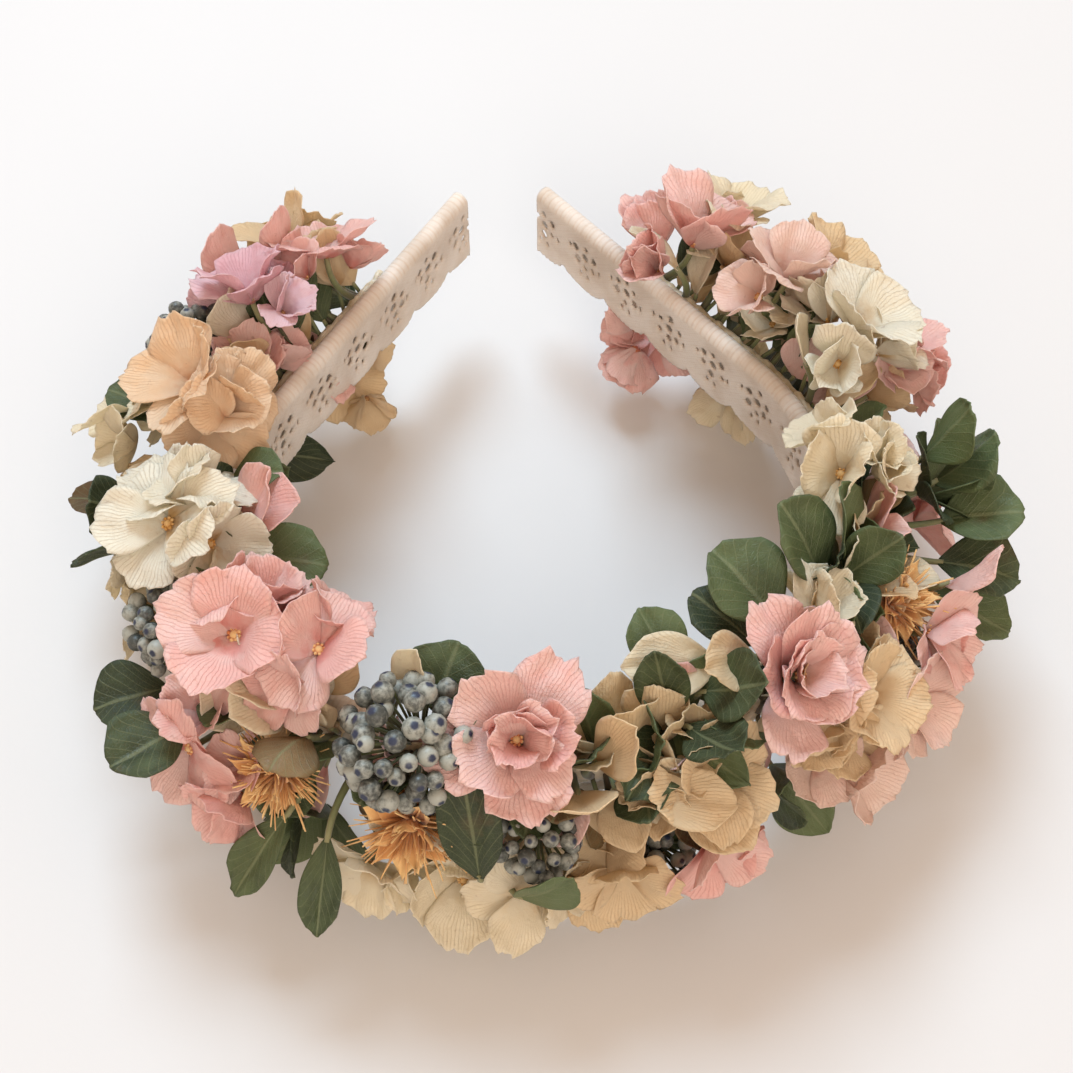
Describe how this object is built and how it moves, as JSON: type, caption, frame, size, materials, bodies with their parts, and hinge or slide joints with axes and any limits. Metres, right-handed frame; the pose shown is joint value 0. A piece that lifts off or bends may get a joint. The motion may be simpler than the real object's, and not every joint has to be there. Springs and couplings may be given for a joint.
{
  "type": "flower crown",
  "caption": "Open hair band covered in crochet lace, with dried and preserved flowers, leaves, berries and brushes glued around the outside; its arms spring apart.",
  "frame": {"origin": "middle of the band, on the inner face of its lace, halfway up the strip inside the lace", "axes": "+Y from the middle of the band towards its two tips, +X to the wearer's one side along the middle of the band, +Z across the width of the band, away from the surface it lies on"},
  "size_m": [0.1706, 0.1697, 0.0604],
  "materials": {
    "petal_pink": "thin veined petal, matt, pink",
    "petal_mauve": "thin veined petal, matt, mauve pink",
    "petal_peach": "thin petal, matt, peach",
    "petal_white": "translucent off-white petal with an amber middle",
    "petal_cream": "dried cream petal, matt",
    "petal_tan": "dried tan petal, matt",
    "leaf_green": "preserved round leaf, dull dark green with fine veins",
    "berry_grey": "knobbly grey-green berries with dark blue ends",
    "brush_orange": "dried brush of fine orange hairs",
    "brush_maroon": "dried brush of dark maroon hairs",
    "lace_cotton": "undyed crochet cotton",
    "band_core": "pale plastic strip",
    "glue": "clear to milky hot glue"
  },
  "bodies": {
    "crown": {"core_crown": "band_core", "lace_crown": "lace_cotton", "glue_crown": "glue", "berries_01": "berry_grey", "pink_rose_01": "petal_pink", "leaf_01": "leaf_green", "orange_brush_02": "brush_orange", "berries_04": "berry_grey", "tan_floret_02": "petal_tan", "cream_floret_07": "petal_cream", "tan_floret_05": "petal_tan", "berries_05": "berry_grey"},
    "left_shoulder": {"core_left_shoulder": "band_core", "lace_left_shoulder": "lace_cotton", "glue_left_shoulder": "glue", "white_floret_01": "petal_white", "pink_floret_02": "petal_pink", "pink_floret_03": "petal_pink", "leaf_03": "leaf_green", "berries_03": "berry_grey", "orange_brush_01": "brush_orange", "cream_floret_06": "petal_cream", "leaf_06": "leaf_green", "leaf_07": "leaf_green"},
    "left_arm": {"core_left_arm": "band_core", "lace_left_arm": "lace_cotton", "glue_left_arm": "glue", "pink_floret_01": "petal_pink", "mauve_floret_01": "petal_mauve", "peach_floret_01": "petal_peach", "tan_floret_01": "petal_tan", "berries_02": "berry_grey", "cream_floret_03": "petal_cream", "cream_floret_05": "petal_cream", "pink_floret_06": "petal_pink", "leaf_05": "leaf_green"},
    "right_shoulder": {"core_right_shoulder": "band_core", "lace_right_shoulder": "lace_cotton", "glue_right_shoulder": "glue", "pink_rose_02": "petal_pink", "leaf_02": "leaf_green", "cream_floret_01": "petal_cream", "tan_floret_03": "petal_tan", "orange_brush_03": "brush_orange", "leaf_04": "leaf_green", "leaf_08": "leaf_green", "berries_06": "berry_grey", "pink_floret_07": "petal_pink"},
    "right_arm": {"core_right_arm": "band_core", "lace_right_arm": "lace_cotton", "glue_right_arm": "glue", "white_floret_02": "petal_white", "cream_floret_02": "petal_cream", "pink_floret_04": "petal_pink", "pink_floret_05": "petal_pink", "tan_floret_04": "petal_tan", "cream_floret_04": "petal_cream", "maroon_brush_01": "brush_maroon", "cream_floret_08": "petal_cream", "pink_floret_08": "petal_pink"}
  },
  "joints": [
    {"name": "left_shoulder_flex", "type": "hinge", "parent": "crown", "child": "left_shoulder", "pos_m": [-0.03295, 0.00583, 0], "axis": [0, 0, 1], "range_deg": [-1.5, 12], "stiffness_Nm_per_rad": 0.9},
    {"name": "left_arm_flex", "type": "hinge", "parent": "left_shoulder", "child": "left_arm", "pos_m": [-0.05964, 0.06418, 0], "axis": [0, 0, 1], "range_deg": [-1.5, 12], "stiffness_Nm_per_rad": 0.6},
    {"name": "right_shoulder_flex", "type": "hinge", "parent": "crown", "child": "right_shoulder", "pos_m": [0.03295, 0.00583, 0], "axis": [0, 0, -1], "range_deg": [-1.5, 12], "stiffness_Nm_per_rad": 0.9},
    {"name": "right_arm_flex", "type": "hinge", "parent": "right_shoulder", "child": "right_arm", "pos_m": [0.05964, 0.06418, 0], "axis": [0, 0, -1], "range_deg": [-1.5, 12], "stiffness_Nm_per_rad": 0.6}
  ],
  "couplings": [
    {"joint": "left_arm_flex", "follows": "left_shoulder_flex", "ratio": 1},
    {"joint": "right_arm_flex", "follows": "right_shoulder_flex", "ratio": 1}
  ]
}
